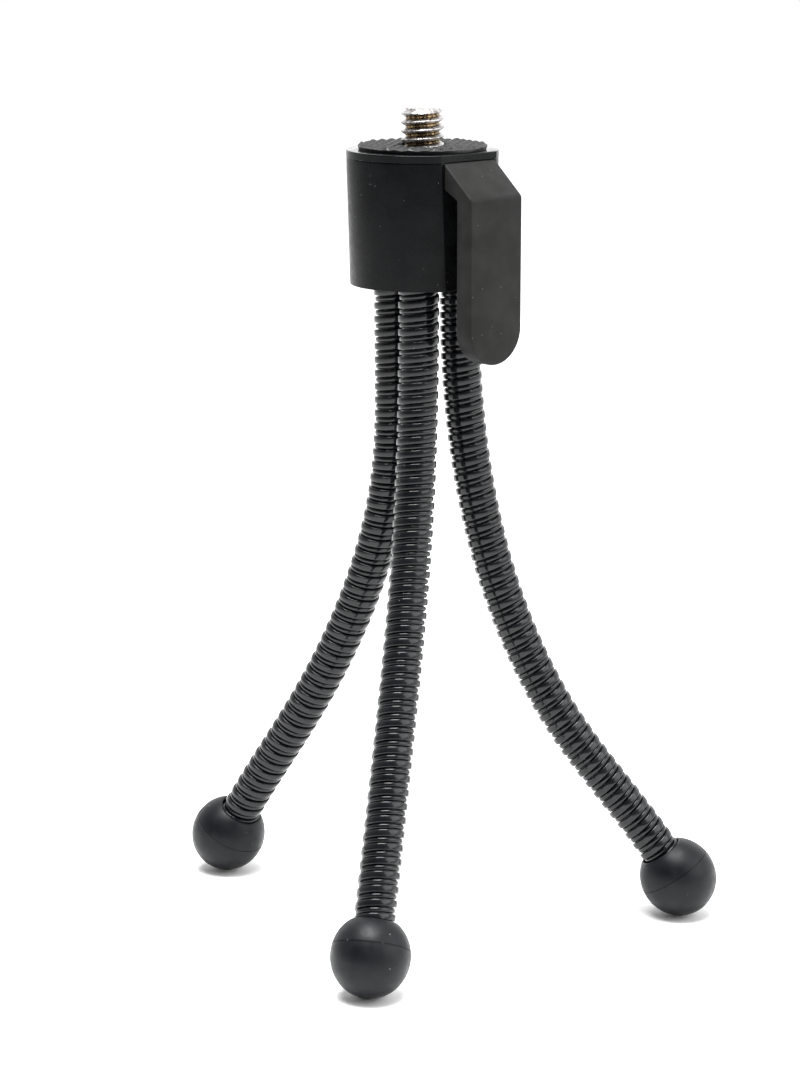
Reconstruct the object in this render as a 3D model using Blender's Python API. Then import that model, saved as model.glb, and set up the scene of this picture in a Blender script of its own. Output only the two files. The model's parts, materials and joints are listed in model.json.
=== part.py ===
"""Mini tripod with gooseneck legs and a squeeze lever head, in metres, +Z up, standing on the floor.

The head is a drafted cylinder with a flat on one side. The camera screw turns in it on a washer, with the
pad disc and the rubber pad, and a brake shoe behind the flat holds it until the side lever is squeezed.
Three gooseneck legs end in rubber balls. Each leg is cut into four short hose pieces with a core wire in
each, joined like ball sockets, so that it bends outwards and inwards at three places.
"""

import math

import bmesh
import bpy
from mathutils import Vector

MM = 0.001
GAP = 0.3 * MM

# Head, with heights measured down from the top face of the cap plate.
HEAD_X = -4.353 * MM
HEAD_Y = 8.4 * MM
HOUSING_BOTTOM_Z = 97.37 * MM
HEAD_HEIGHT = 19.7 * MM
TOP_Z = HOUSING_BOTTOM_Z + HEAD_HEIGHT
HOUSING_R_TOP = 11.15 * MM
HOUSING_R_BOTTOM = 10.65 * MM
HOUSING_EDGE = 0.5 * MM
FLAT_DISTANCE = 9.68 * MM
FLAT_AZIMUTH = math.radians(-46.5)
CAP_THICKNESS = 1.1 * MM
CAP_PROUD = 0.05 * MM
CAP_EDGE = 0.12 * MM
PLUG_BOTTOM = 2.0 * MM
CAVITY_R = 8.2 * MM
CAVITY_FLAT = 6.4 * MM
CAVITY_DEPTH = 8.6 * MM
MID_WALL_BOTTOM = 10.6 * MM
BASE_R = 9.9 * MM
BASE_FLAT = 8.6 * MM
DISC_THICKNESS = 0.8 * MM
FLANGE_CUT = 0.6 * MM
BASE_SCREW_R = 1.0 * MM
BASE_SCREW_HEAD_R = 1.45 * MM
BASE_SCREW_TOP = 9.4 * MM
BASE_SCREW_SHOULDER = 18.0 * MM
BASE_SCREW_BOTTOM = 19.2 * MM

# Camera screw, a quarter inch stud with a round head that the brake shoe bears on.
SCREW_R = 3.175 * MM
SCREW_TOP = 6.0 * MM
SCREW_CHAMFER = 0.7 * MM
SCREW_NECK_R = 3.1 * MM
DRUM_R = 5.4 * MM
DRUM_TOP = 3.1 * MM
DRUM_BOTTOM = 6.8 * MM
PAD_R = 9.5 * MM
PAD_BOTTOM = 0.2 * MM
PAD_TOP = 0.95 * MM
DISC_R = 8.6 * MM
DISC_TOP = 0.1 * MM
RECESS_DEPTH = 0.7 * MM
WASHER_R = 5.6 * MM

# Side lever, with distances measured out from the head's axis along the flat's normal.
LEVER_WIDTH = 10.4 * MM
LEVER_FACE = 15.4 * MM
LEVER_THICKNESS = 3.0 * MM
LEVER_CLEARANCE = 0.15 * MM
LEVER_TOP = 1.2 * MM
LEVER_FOLD = 5.9 * MM
LEVER_WEB_BOTTOM = 4.9 * MM
LEVER_TONGUE_TOP = 6.3 * MM
LEVER_BOTTOM = 30.2 * MM
LEVER_EDGE = 0.35 * MM
ARM_RISE = 1.2 * MM
ARM_DROP = 1.2 * MM
PIN_DISTANCE = 8.6 * MM
PIN_DEPTH = 4.0 * MM
PIN_R = 0.6 * MM
HUB_R = 1.4 * MM
NOSE_REACH = 1.7 * MM
WINDOW_HALF = 2.6 * MM
WINDOW_TOP = 2.35 * MM
WINDOW_BOTTOM = 6.1 * MM

# Legs: a circle of holes in the head, then a path that bends outwards in its own upright plane.
LEG_CIRCLE_R = 5.7 * MM
LEG_CIRCLE_X = 0.3 * MM
HOSE_R = 3.0 * MM
HOSE_BORE_R = 1.9 * MM
CORE_R = 1.5 * MM
SOCKET_R = HOSE_R + GAP
HOLE_R = HOSE_R + GAP
BEND_POINTS = (6.0 * MM, 36.0 * MM, 66.0 * MM)
HOSE_TOP = -7.4 * MM
CORE_TOP = -8.7 * MM
HOSE_INTO_BALL = 1.9 * MM
BALL_R = 5.88 * MM
BALL_HALF_LENGTH = 6.15 * MM
BALL_HOLE_R = HOSE_R + 0.4 * MM
BALL_HOLE_END = -0.7 * MM
LEAN_STEP = 20 * MM
# name: (azimuth of the hole, azimuth of the bend, degrees of lean after each further 20 mm)
LEGS = {
    "front": (-98.6, -102.4, (6.8, 19.1, 27.6, 29.3, 30.4)),
    "right": (21.4, -6.2, (6.0, 14.7, 25.9, 38.1, 34.1)),
    "left": (141.4, 147.7, (1.3, 16.6, 27.7, 34.3, 30.7)),
}
PATH_STEP = 0.25 * MM
SIDES = 12
ROUND = 40


def clear_scene():
    for obj in list(bpy.data.objects):
        bpy.data.objects.remove(obj, do_unlink=True)


def make_material(name, colour, roughness, metallic=0.0):
    material = bpy.data.materials.new(name)
    material.use_nodes = True
    shader = material.node_tree.nodes["Principled BSDF"]
    shader.inputs["Base Color"].default_value = (*colour, 1.0)
    shader.inputs["Roughness"].default_value = roughness
    shader.inputs["Metallic"].default_value = metallic
    return material


def head_point(out, across, down):
    """A place on the head: out along the flat's normal, across along the flat, down from the cap's top."""
    normal = Vector((math.cos(FLAT_AZIMUTH), math.sin(FLAT_AZIMUTH), 0))
    along = Vector((-normal.y, normal.x, 0))
    return Vector((HEAD_X, HEAD_Y, TOP_Z - down)) + out * normal + across * along


def add_object(name, bm, material, origin=None, cutter=False):
    """Puts a bmesh made in world coordinates into an object whose origin is at the given place."""
    origin = origin or Vector((HEAD_X, HEAD_Y, TOP_Z))
    bmesh.ops.recalc_face_normals(bm, faces=bm.faces)
    bmesh.ops.translate(bm, verts=bm.verts, vec=-origin)
    mesh = bpy.data.meshes.new(name)
    bm.to_mesh(mesh)
    bm.free()
    obj = bpy.data.objects.new(name, mesh)
    obj.location = origin
    bpy.context.scene.collection.objects.link(obj)
    if cutter:
        obj.hide_render = True
        obj.display_type = "WIRE"
        return obj
    mesh.materials.append(material)
    mesh.shade_smooth()
    mesh.set_sharp_from_angle(angle=math.radians(35))
    return obj


def combine(obj, operation, *cutters):
    for cutter in cutters:
        modifier = obj.modifiers.new(cutter.name, "BOOLEAN")
        modifier.operation = operation
        modifier.object = cutter


def soften(obj, width, angle=40):
    modifier = obj.modifiers.new("edges", "BEVEL")
    modifier.width = width
    modifier.segments = 2
    modifier.limit_method = "ANGLE"
    modifier.angle_limit = math.radians(angle)


def loft(rings, closed=False):
    """Skins rings of points. A ring of one point is a pole, and open ends are capped."""
    bm = bmesh.new()
    made = [[bm.verts.new(point) for point in ring] for ring in rings]
    pairs = list(zip(made, made[1:]))
    if closed:
        pairs.append((made[-1], made[0]))
    for first, second in pairs:
        count = max(len(first), len(second))
        for i in range(count):
            j = (i + 1) % count
            corners = [first[i % len(first)], first[j % len(first)]]
            corners += [second[j % len(second)], second[i % len(second)]]
            bm.faces.new(dict.fromkeys(corners))
    if not closed:
        for ring in (made[0], made[-1]):
            if len(ring) > 1:
                bm.faces.new(ring)
    return bm


def flat_sided_ring(radius, flat, down):
    """A circle about the head's axis, cut off by the flat."""
    half = math.acos(min(1.0, flat / radius))
    angles = [half + (2 * math.pi - 2 * half) * i / ROUND for i in range(ROUND + 1)]
    return [head_point(radius * math.cos(a), radius * math.sin(a), down) for a in angles]


def turned(profile, closed=False, sides=ROUND, x=0.0, y=0.0):
    """A solid turned about an upright axis at (x, y) from the head's own, from (radius, down) points."""
    rings = []
    for radius, down in profile:
        count = sides if radius > 0 else 1
        angles = [2 * math.pi * i / sides for i in range(count)]
        centre = Vector((HEAD_X + x, HEAD_Y + y, TOP_Z - down))
        rings.append([centre + radius * Vector((math.cos(a), math.sin(a), 0)) for a in angles])
    return loft(rings, closed)


def tube(inner, outer, top, bottom, sides=ROUND):
    return turned([(inner, top), (outer, top), (outer, bottom), (inner, bottom)], True, sides)


def rod_across(out, down, radius, first, last, sides=SIDES):
    """A round bar that lies along the flat."""
    rings = []
    for across in (first, last):
        angles = [2 * math.pi * i / sides for i in range(sides)]
        rings.append([head_point(out + radius * math.cos(a), across, down + radius * math.sin(a))
                      for a in angles])
    return loft(rings)


def block(out, across, down):
    """A box between pairs of limits, each (low, high)."""
    rings = []
    for d in down:
        rings.append([head_point(out[0], across[0], d), head_point(out[1], across[0], d),
                      head_point(out[1], across[1], d), head_point(out[0], across[1], d)])
    return loft(rings)


def cutter(name, bm):
    return add_object(name, bm, None, cutter=True)


def leg_hole(azimuth):
    """Where a leg's hole is from the head's axis. The circle of holes is a little to one side."""
    angle = math.radians(azimuth)
    return LEG_CIRCLE_X + LEG_CIRCLE_R * math.cos(angle), LEG_CIRCLE_R * math.sin(angle)


def leg_holes(radius, top, bottom):
    """One cutter for each leg's hole, at the leg circle."""
    found = []
    for name, (hole_azimuth, *_) in LEGS.items():
        x, y = leg_hole(hole_azimuth)
        bm = turned([(radius, top), (radius, bottom)], sides=20, x=x, y=y)
        found.append(cutter(f"cut_{name}_{radius / MM:.1f}", bm))
    return found


def make_housing(plastic):
    edge = HOUSING_EDGE
    rings = [
        flat_sided_ring(HOUSING_R_TOP, FLAT_DISTANCE, CAP_THICKNESS + GAP),
        flat_sided_ring(HOUSING_R_BOTTOM, FLAT_DISTANCE, HEAD_HEIGHT - edge),
        flat_sided_ring(HOUSING_R_BOTTOM - 0.3 * edge, FLAT_DISTANCE - 0.3 * edge, HEAD_HEIGHT - 0.3 * edge),
        flat_sided_ring(HOUSING_R_BOTTOM - edge, FLAT_DISTANCE - edge, HEAD_HEIGHT),
    ]
    housing = add_object("head_housing", loft(rings), plastic)
    cavity = loft([flat_sided_ring(CAVITY_R, CAVITY_FLAT, d) for d in (0, CAVITY_DEPTH)])
    base = loft([flat_sided_ring(BASE_R, BASE_FLAT, d) for d in (MID_WALL_BOTTOM, 2 * HEAD_HEIGHT)])
    window = block((5 * MM, 12 * MM), (-WINDOW_HALF, WINDOW_HALF), (WINDOW_TOP, WINDOW_BOTTOM))
    pin_hole = rod_across(PIN_DISTANCE, PIN_DEPTH, PIN_R + GAP, -4.6 * MM, 9 * MM)
    bore = BASE_SCREW_R + GAP
    screw_hole = turned([(bore, CAVITY_DEPTH), (bore, MID_WALL_BOTTOM + 1 * MM)], sides=16)
    combine(housing, "DIFFERENCE", cutter("cut_cavity", cavity), cutter("cut_base", base),
            cutter("cut_window", window), cutter("cut_pin_hole", pin_hole),
            cutter("cut_base_screw", screw_hole))


def make_cap_plate(plastic):
    """The plate that closes the head, with a plug that fits the cavity and a recess for the pad disc."""
    edge = CAP_EDGE
    radius = HOUSING_R_TOP + CAP_PROUD
    flat = FLAT_DISTANCE + CAP_PROUD
    rings = [
        flat_sided_ring(radius - edge, flat - edge, 0),
        flat_sided_ring(radius, flat, edge),
        flat_sided_ring(radius, flat, CAP_THICKNESS),
        flat_sided_ring(CAVITY_R - GAP, CAVITY_FLAT - GAP, CAP_THICKNESS),
        flat_sided_ring(CAVITY_R - GAP, CAVITY_FLAT - GAP, PLUG_BOTTOM),
    ]
    plate = add_object("cap_plate", loft(rings), plastic)
    recess = turned([(DISC_R + GAP, -1 * MM), (DISC_R + GAP, RECESS_DEPTH)])
    hole = turned([(SCREW_NECK_R + GAP, -1 * MM), (SCREW_NECK_R + GAP, 3 * MM)], sides=24)
    combine(plate, "DIFFERENCE", cutter("cut_recess", recess), cutter("cut_neck", hole))


def make_camera_screw(steel):
    """Stud, neck and the round head under the cap plate, turned as one piece."""
    profile = [
        (0, -SCREW_TOP),
        (SCREW_R - SCREW_CHAMFER, -SCREW_TOP),
        (SCREW_R, -SCREW_TOP + SCREW_CHAMFER),
        (SCREW_R, -PAD_TOP),
        (SCREW_NECK_R, -PAD_BOTTOM),
        (SCREW_NECK_R, DRUM_TOP),
        (DRUM_R, DRUM_TOP),
        (DRUM_R, DRUM_BOTTOM),
        (0, DRUM_BOTTOM),
    ]
    add_object("camera_screw", turned(profile, sides=24), steel)


def make_pad(rubber, steel):
    hole = SCREW_R + GAP
    add_object("pad_disc", tube(hole, DISC_R, RECESS_DEPTH - GAP, DISC_TOP, 32), steel)
    add_object("rubber_pad", tube(hole + 0.1 * MM, PAD_R, -PAD_BOTTOM, -PAD_TOP, 32), rubber)


def make_washer(nylon):
    washer = tube(SCREW_NECK_R + GAP, WASHER_R, PLUG_BOTTOM + GAP, DRUM_TOP - GAP, 24)
    add_object("thrust_washer", washer, nylon)


def make_lever(plastic):
    """Web, sloped shoulder and long tongue, with a narrow arm that reaches the pin behind the flat."""
    inner = LEVER_FACE - LEVER_THICKNESS
    web = FLAT_DISTANCE + LEVER_CLEARANCE
    side = [
        (web, LEVER_TOP), (LEVER_FACE - 0.2 * MM, LEVER_FOLD), (LEVER_FACE, LEVER_FOLD + 0.5 * MM),
        (LEVER_FACE, LEVER_BOTTOM), (inner, LEVER_BOTTOM), (inner, LEVER_TONGUE_TOP),
        (web, LEVER_WEB_BOTTOM),
    ]
    half = LEVER_WIDTH / 2
    body = loft([
        [head_point(out, across, down) for out, down in side] for across in (-LEVER_WIDTH, LEVER_WIDTH)
    ])
    lever = add_object("squeeze_lever", body, plastic, head_point(PIN_DISTANCE, 0, PIN_DEPTH))
    end = LEVER_BOTTOM - half
    arc = [(half * math.cos(math.pi * i / 16), end + half * math.sin(math.pi * i / 16)) for i in range(17)]
    front = arc + [(-half, 0), (half, 0)]
    outline = loft([[head_point(out, across, down) for across, down in front]
                    for out in (5 * MM, 20 * MM)])
    combine(lever, "INTERSECT", cutter("cut_lever_outline", outline))
    soften(lever, LEVER_EDGE)
    arm = block((PIN_DISTANCE, web + 0.8 * MM), (-2.2 * MM, 0.8 * MM),
                (PIN_DEPTH - ARM_RISE, PIN_DEPTH + ARM_DROP))
    hub = rod_across(PIN_DISTANCE, PIN_DEPTH, HUB_R, -2.3 * MM, 0.9 * MM, sides=20)
    nose = block((PIN_DISTANCE - NOSE_REACH, PIN_DISTANCE - 0.2 * MM), (-2.1 * MM, 0.7 * MM),
                 (PIN_DEPTH - 1.25 * MM, PIN_DEPTH - 0.5 * MM))
    combine(lever, "UNION", cutter("join_arm", arm), cutter("join_hub", hub), cutter("join_nose", nose))
    bore = rod_across(PIN_DISTANCE, PIN_DEPTH, PIN_R + GAP, -9 * MM, 9 * MM, sides=16)
    combine(lever, "DIFFERENCE", cutter("cut_lever_bore", bore))


def make_lever_pin(steel):
    pin = rod_across(PIN_DISTANCE, PIN_DEPTH, PIN_R, -4.3 * MM, 6.4 * MM)
    add_object("lever_pin", pin, steel, head_point(PIN_DISTANCE, 0, PIN_DEPTH))


def make_brake_shoe(rubber):
    """A block that the lever's nose holds against the screw's round head."""
    shoe = block((DRUM_R + GAP, PIN_DISTANCE - NOSE_REACH - GAP), (-2.2 * MM, 2.2 * MM),
                 (DRUM_TOP - 0.3 * MM, 5.7 * MM))
    add_object("brake_shoe", shoe, rubber, head_point(DRUM_R + GAP, 0, PIN_DEPTH))


def make_lever_spring(steel):
    """A torsion spring round the pin beside the hub, with one leg on the housing and one on the lever."""
    turns, radius, pitch, wire = 3, 1.15 * MM, 0.34 * MM, 0.14 * MM
    start = 1.35 * MM
    points = [head_point(PIN_DISTANCE + 0.5 * MM, start, PIN_DEPTH + 1.75 * MM)]
    for i in range(turns * 12 + 1):
        angle = 2 * math.pi * i / 12
        points.append(head_point(PIN_DISTANCE + radius * math.cos(angle), start + pitch * i / 12,
                                 PIN_DEPTH + radius * math.sin(angle)))
    points.append(head_point(PIN_DISTANCE + radius, start + turns * pitch, PIN_DEPTH - 1.3 * MM))
    curve = bpy.data.curves.new("lever_spring", "CURVE")
    curve.dimensions = "3D"
    spline = curve.splines.new("POLY")
    spline.points.add(len(points) - 1)
    for target, point in zip(spline.points, points):
        target.co = (*point, 1.0)
    curve.bevel_depth = wire
    curve.bevel_resolution = 1
    curve.use_fill_caps = True
    curve.materials.append(steel)
    bpy.context.scene.collection.objects.link(bpy.data.objects.new("lever_spring", curve))


def make_leg_holder(plastic, steel):
    """The plug with the legs' holes, the disc that holds the core wires, and the screw through both."""
    top, bottom = MID_WALL_BOTTOM + DISC_THICKNESS + 2 * GAP, HEAD_HEIGHT - GAP
    bore_r, counterbore_r = BASE_SCREW_R + GAP, BASE_SCREW_HEAD_R + GAP
    seat = BASE_SCREW_SHOULDER - GAP
    holder = add_object("leg_holder", loft([
        flat_sided_ring(BASE_R - GAP, BASE_FLAT - GAP, top),
        flat_sided_ring(BASE_R - GAP, BASE_FLAT - GAP, bottom)]), plastic)
    above, below = top - 1 * MM, HEAD_HEIGHT + 1 * MM
    bore = turned([(bore_r, above), (bore_r, seat), (counterbore_r, seat), (counterbore_r, below)], sides=16)
    combine(holder, "DIFFERENCE", cutter("cut_holder_bore", bore), *leg_holes(HOLE_R, above, below))
    disc = add_object("anchor_disc", loft([
        flat_sided_ring(BASE_R - FLANGE_CUT, BASE_FLAT - FLANGE_CUT, MID_WALL_BOTTOM + GAP),
        flat_sided_ring(BASE_R - FLANGE_CUT, BASE_FLAT - FLANGE_CUT, top - GAP)]), steel)
    above, below = MID_WALL_BOTTOM - 0.5 * MM, top + 1 * MM
    centre = turned([(bore_r, above), (bore_r, below)], sides=16)
    combine(disc, "DIFFERENCE", cutter("cut_disc_centre", centre), *leg_holes(CORE_R + GAP, above, below))
    profile = [(0, BASE_SCREW_TOP), (BASE_SCREW_R, BASE_SCREW_TOP), (BASE_SCREW_R, BASE_SCREW_SHOULDER),
               (BASE_SCREW_HEAD_R, BASE_SCREW_SHOULDER), (BASE_SCREW_HEAD_R, BASE_SCREW_BOTTOM),
               (0, BASE_SCREW_BOTTOM)]
    add_object("base_screw", turned(profile, sides=16), steel)


class Leg:
    """A leg's centre line: straight down from its hole, then bending outwards in one upright plane."""

    def __init__(self, hole_azimuth, bend_azimuth, leans):
        x, y = leg_hole(hole_azimuth)
        bend = math.radians(bend_azimuth)
        self.top = Vector((HEAD_X + x, HEAD_Y + y, HOUSING_BOTTOM_Z))
        self.out = Vector((math.cos(bend), math.sin(bend), 0))
        self.across = self.out.cross(Vector((0, 0, 1)))
        self.leans = [math.radians(lean) for lean in (0, 0, *leans, leans[-1])]
        self.trace()

    def tilt(self, s):
        """The lean at a place along the leg, on a smooth curve through the leans."""
        step = min(max(s / LEAN_STEP, 0.0), len(self.leans) - 3 - 1e-9)
        i, t = int(step), step % 1
        before, first, last, after = self.leans[i:i + 4]
        leave = (last - before) / 2 if i else 0.0
        arrive = (after - first) / 2
        blend = t * t * (3 - 2 * t)
        return (first + (last - first) * blend + leave * t * (1 - t) ** 2 - arrive * t * t * (1 - t))

    def trace(self):
        """Walks down to where the ball stands on the floor."""
        foot_tilt = self.leans[-1]
        ball_height = math.hypot(BALL_HALF_LENGTH * math.cos(foot_tilt), BALL_R * math.sin(foot_tilt))
        place, s = self.top.copy(), 0.0
        self.places = [place.copy()]
        while place.z > ball_height:
            place += PATH_STEP * self.direction(s + PATH_STEP / 2)
            s += PATH_STEP
            self.places.append(place.copy())
        self.length = s - (ball_height - place.z) / math.cos(foot_tilt)

    def direction(self, s):
        angle = self.tilt(s)
        return math.sin(angle) * self.out - Vector((0, 0, math.cos(angle)))

    def at(self, s):
        if s <= 0:
            return self.top - s * Vector((0, 0, 1))
        index = min(int(s / PATH_STEP), len(self.places) - 2)
        return self.places[index].lerp(self.places[index + 1], s / PATH_STEP - index)

    def ring(self, s, radius, sides=SIDES, centre=None):
        """A ring across the leg. With a centre, the ring is placed straight along the direction there."""
        direction = self.direction(s if centre is None else centre)
        place = self.at(s) if centre is None else self.at(centre) + (s - centre) * direction
        if radius == 0:
            return [place]
        normal = self.across.cross(direction)
        turns = [2 * math.pi * (i + 0.5) / sides for i in range(sides)]
        return [place + radius * (math.cos(a) * normal + math.sin(a) * self.across) for a in turns]


def along(first, last, most=7.0 * MM):
    """Evenly spaced stations between two, no further apart than most."""
    count = max(1, math.ceil((last - first) / most))
    return [first + (last - first) * i / count for i in range(count + 1)]


def make_hose(name, leg, start, end, ball_start, socket_end, material):
    """One hose piece. It begins as a ball about its bend point, and ends in a socket about the next."""
    rings = []
    first, last = start, end
    if ball_start:
        for degrees in (38, 60):
            angle = math.radians(degrees)
            rings.append(leg.ring(start - HOSE_R * math.cos(angle), HOSE_R * math.sin(angle), centre=start))
        bore_top = start - HOSE_R * math.cos(math.radians(38))
        rings[0] = leg.ring(bore_top, HOSE_BORE_R, centre=start)
    if socket_end:
        last = end - math.sqrt(SOCKET_R**2 - HOSE_R**2) - 0.02 * MM
    rings += [leg.ring(s, HOSE_R) for s in along(first, last)]
    bore_bottom = last
    if socket_end:
        deep = math.sqrt(SOCKET_R**2 - (2.5 * MM) ** 2)
        rings.append(leg.ring(end - deep - 0.02 * MM, 2.5 * MM, centre=end))
        bore_bottom = end - math.sqrt(SOCKET_R**2 - HOSE_BORE_R**2) - 0.02 * MM
    rings.append(leg.ring(bore_bottom, HOSE_BORE_R, centre=end if socket_end else None))
    bore = along(bore_top if ball_start else first, bore_bottom)
    rings += [leg.ring(s, HOSE_BORE_R) for s in reversed(bore[1:-1])]
    if not ball_start:
        rings.append(leg.ring(first, HOSE_BORE_R))
    add_object(name, loft(rings, closed=True), material, leg.at(start))


def make_core(name, leg, start, end, origin, material):
    rings = [leg.ring(s, CORE_R, sides=8) for s in along(start, end, 9 * MM)]
    add_object(name, loft(rings), material, leg.at(origin))


def make_foot(name, leg, rubber, steel):
    """The rubber ball with its blind hole, and the peg that plugs the hose's end inside it."""
    rim = math.asin(BALL_HOLE_R / BALL_R)
    centre = leg.length
    end = centre + BALL_HOLE_END
    rings = [leg.ring(end, 0, 20, centre), leg.ring(end, BALL_HOLE_R, 20, centre)]
    for i in range(11):
        angle = rim + (math.pi - rim) * i / 10
        radius = BALL_R * math.sin(angle) if i < 10 else 0
        rings.append(leg.ring(centre - BALL_HALF_LENGTH * math.cos(angle), radius, 20, centre))
    add_object(f"ball_foot_{name}", loft(rings), rubber, leg.at(centre))
    end = centre - HOSE_INTO_BALL
    plug = [(end - 4 * MM, 0), (end - 4 * MM, 1.6 * MM), (end + 0.3 * MM, 1.6 * MM),
            (end + 0.3 * MM, 2.8 * MM), (end + 0.9 * MM, 2.8 * MM), (end + 0.9 * MM, 0)]
    add_object(f"hose_plug_{name}", loft([leg.ring(s, r, 10, centre) for s, r in plug]), steel, leg.at(end))


def make_leg(name, leg, hose, wire, rubber, steel):
    first, second, third = BEND_POINTS
    hose_end = leg.length - HOSE_INTO_BALL
    make_hose(f"hose_{name}_root", leg, HOSE_TOP, first, False, True, hose)
    make_hose(f"hose_{name}_upper", leg, first, second, True, True, hose)
    make_hose(f"hose_{name}_middle", leg, second, third, True, True, hose)
    make_hose(f"hose_{name}_lower", leg, third, hose_end, True, False, hose)
    clear, back = 3.2 * MM, 2.0 * MM
    make_core(f"core_{name}_root", leg, CORE_TOP, first - clear, 0, wire)
    make_core(f"core_{name}_upper", leg, first - back, second - clear, first, wire)
    make_core(f"core_{name}_middle", leg, second - back, third - clear, second, wire)
    make_core(f"core_{name}_lower", leg, third - back, hose_end - 4.3 * MM, third, wire)
    make_foot(name, leg, rubber, steel)


def main():
    clear_scene()
    plastic = make_material("moulded_black", (0.022, 0.023, 0.024), 0.42)
    lever_plastic = make_material("lever_black", (0.045, 0.045, 0.045), 0.55)
    rubber = make_material("black_rubber", (0.028, 0.030, 0.033), 0.75)
    hose = make_material("black_painted_steel", (0.035, 0.036, 0.037), 0.35, 0.3)
    plated = make_material("plated_steel", (0.62, 0.58, 0.52), 0.3, 1.0)
    wire = make_material("soft_wire", (0.7, 0.7, 0.7), 0.4, 1.0)
    nylon = make_material("nylon", (0.75, 0.74, 0.7), 0.5)
    make_housing(plastic)
    make_cap_plate(plastic)
    make_camera_screw(plated)
    make_pad(rubber, plated)
    make_washer(nylon)
    make_lever(lever_plastic)
    make_lever_pin(plated)
    make_brake_shoe(rubber)
    make_lever_spring(plated)
    make_leg_holder(plastic, plated)
    for name, values in LEGS.items():
        make_leg(name, Leg(*values), hose, wire, rubber, plated)


main()
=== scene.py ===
import json
import math

import bmesh
import bpy
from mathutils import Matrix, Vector


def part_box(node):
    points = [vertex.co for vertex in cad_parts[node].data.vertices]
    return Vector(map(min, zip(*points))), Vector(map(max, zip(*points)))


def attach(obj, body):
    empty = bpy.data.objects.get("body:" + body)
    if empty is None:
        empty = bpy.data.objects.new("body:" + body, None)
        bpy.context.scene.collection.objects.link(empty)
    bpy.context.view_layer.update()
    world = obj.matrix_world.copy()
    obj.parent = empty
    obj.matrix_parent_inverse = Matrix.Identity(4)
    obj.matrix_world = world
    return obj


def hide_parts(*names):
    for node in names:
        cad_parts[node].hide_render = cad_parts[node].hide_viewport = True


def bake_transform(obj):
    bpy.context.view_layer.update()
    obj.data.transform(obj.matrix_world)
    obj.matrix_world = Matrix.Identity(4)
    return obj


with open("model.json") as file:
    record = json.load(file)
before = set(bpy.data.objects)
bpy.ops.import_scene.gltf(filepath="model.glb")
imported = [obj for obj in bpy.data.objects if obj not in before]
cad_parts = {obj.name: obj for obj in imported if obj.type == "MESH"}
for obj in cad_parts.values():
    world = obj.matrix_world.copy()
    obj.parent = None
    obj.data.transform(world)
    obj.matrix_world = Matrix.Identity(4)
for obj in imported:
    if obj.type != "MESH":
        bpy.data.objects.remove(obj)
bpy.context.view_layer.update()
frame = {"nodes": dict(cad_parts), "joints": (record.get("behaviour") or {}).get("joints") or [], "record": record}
MM = 0.001

# ---------------------------------------------------------------- places read from the frame
NODES = frame["nodes"]
JOINTS = {joint["name"]: joint for joint in frame["joints"]}
LEG_NAMES = ("front", "right", "left")


def box(node):
    low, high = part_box(node)
    return Vector(low), Vector(high)


screw_low, screw_high = box("camera_screw")
AXIS = (screw_low + screw_high) / 2
TOP_Z = box("cap_plate")[1].z
PAD_TOP = box("rubber_pad")[1].z - TOP_Z
PAD_BOTTOM = box("rubber_pad")[0].z - TOP_Z
SCREW_TOP = screw_high.z - TOP_Z
HEAD_HEIGHT = TOP_Z - box("head_housing")[0].z
OUT = Vector(JOINTS["brake_slide"]["axis"]).normalized()
ALONG = Vector((-OUT.y, OUT.x, 0))
PIN = Vector(JOINTS["lever_squeeze"]["pos_m"])
PIN_OUT = (PIN - AXIS).dot(OUT)
PIN_DOWN = TOP_Z - PIN.z

# ---------------------------------------------------------------- sizes that the frame doesn't give
HOUSING_R_TOP = 11.15 * MM
HOUSING_R_BOTTOM = 10.65 * MM
FLAT = 9.68 * MM
CAP_R = 11.2 * MM
CAP_FLAT = 9.73 * MM
CAP_THICKNESS = 1.1 * MM
CAP_PLUG_R = 7.9 * MM
CAP_PLUG_FLAT = 6.1 * MM
CAP_PLUG_BOTTOM = 2.0 * MM
RECESS_R = 8.9 * MM
RECESS_DEPTH = 0.7 * MM
NECK_HOLE_R = 3.4 * MM
LEVER_HALF = 5.2 * MM
LEVER_CLEARANCE = 0.15 * MM
LEVER_FACE = 15.4 * MM
LEVER_INNER = 12.4 * MM
LEVER_BOTTOM = TOP_Z - box("squeeze_lever")[0].z
LEVER_TOP = 1.12 * MM
LEVER_FOLD = 5.9 * MM
TONGUE_TOP = 6.3 * MM
WEB_BOTTOM = 4.9 * MM
LEVER_EDGE = 0.3 * MM
HOUSING_EDGE = 0.2 * MM
BEVEL_STEPS = 4
CAVITY_R = 8.2 * MM
CAVITY_FLAT = 6.4 * MM
MID_WALL_TOP = 8.6 * MM
MID_WALL_BOTTOM = 10.6 * MM
BASE_R = 9.9 * MM
BASE_FLAT = 8.6 * MM
WINDOW_HALF = 2.6 * MM
WINDOW_TOP = 2.35 * MM
WINDOW_BOTTOM = 6.1 * MM
PIN_HOLE_R = 0.75 * MM
HUB_R = 1.4 * MM
ARM_HALF_HEIGHT = 1.2 * MM
THREAD_PITCH = 1.27 * MM
THREAD_R = 3.175 * MM
THREAD_PHASE = 0.046
THREAD_DEPTH = 0.72 * MM
PAD_R = 9.5 * MM
PAD_SINK = 0.15 * MM
BUMP_PITCH = 1.65 * MM
BUMP_TURN = math.radians(33)
HOSE_R = 3.03 * MM
HOSE_PITCH = 2.03 * MM
POINTS_PER_TURN = 28
GROOVE_R = HOSE_R - 0.6 * MM
SUNK_R = HOSE_R - 0.19 * MM
BALL_R = 5.88 * MM
BALL_HALF_LENGTH = 6.15 * MM
BALL_INSET = 0.08 * MM
BALL_HOLE_END = 0.7 * MM
SEAM_OFFSET = -1.1 * MM
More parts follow.
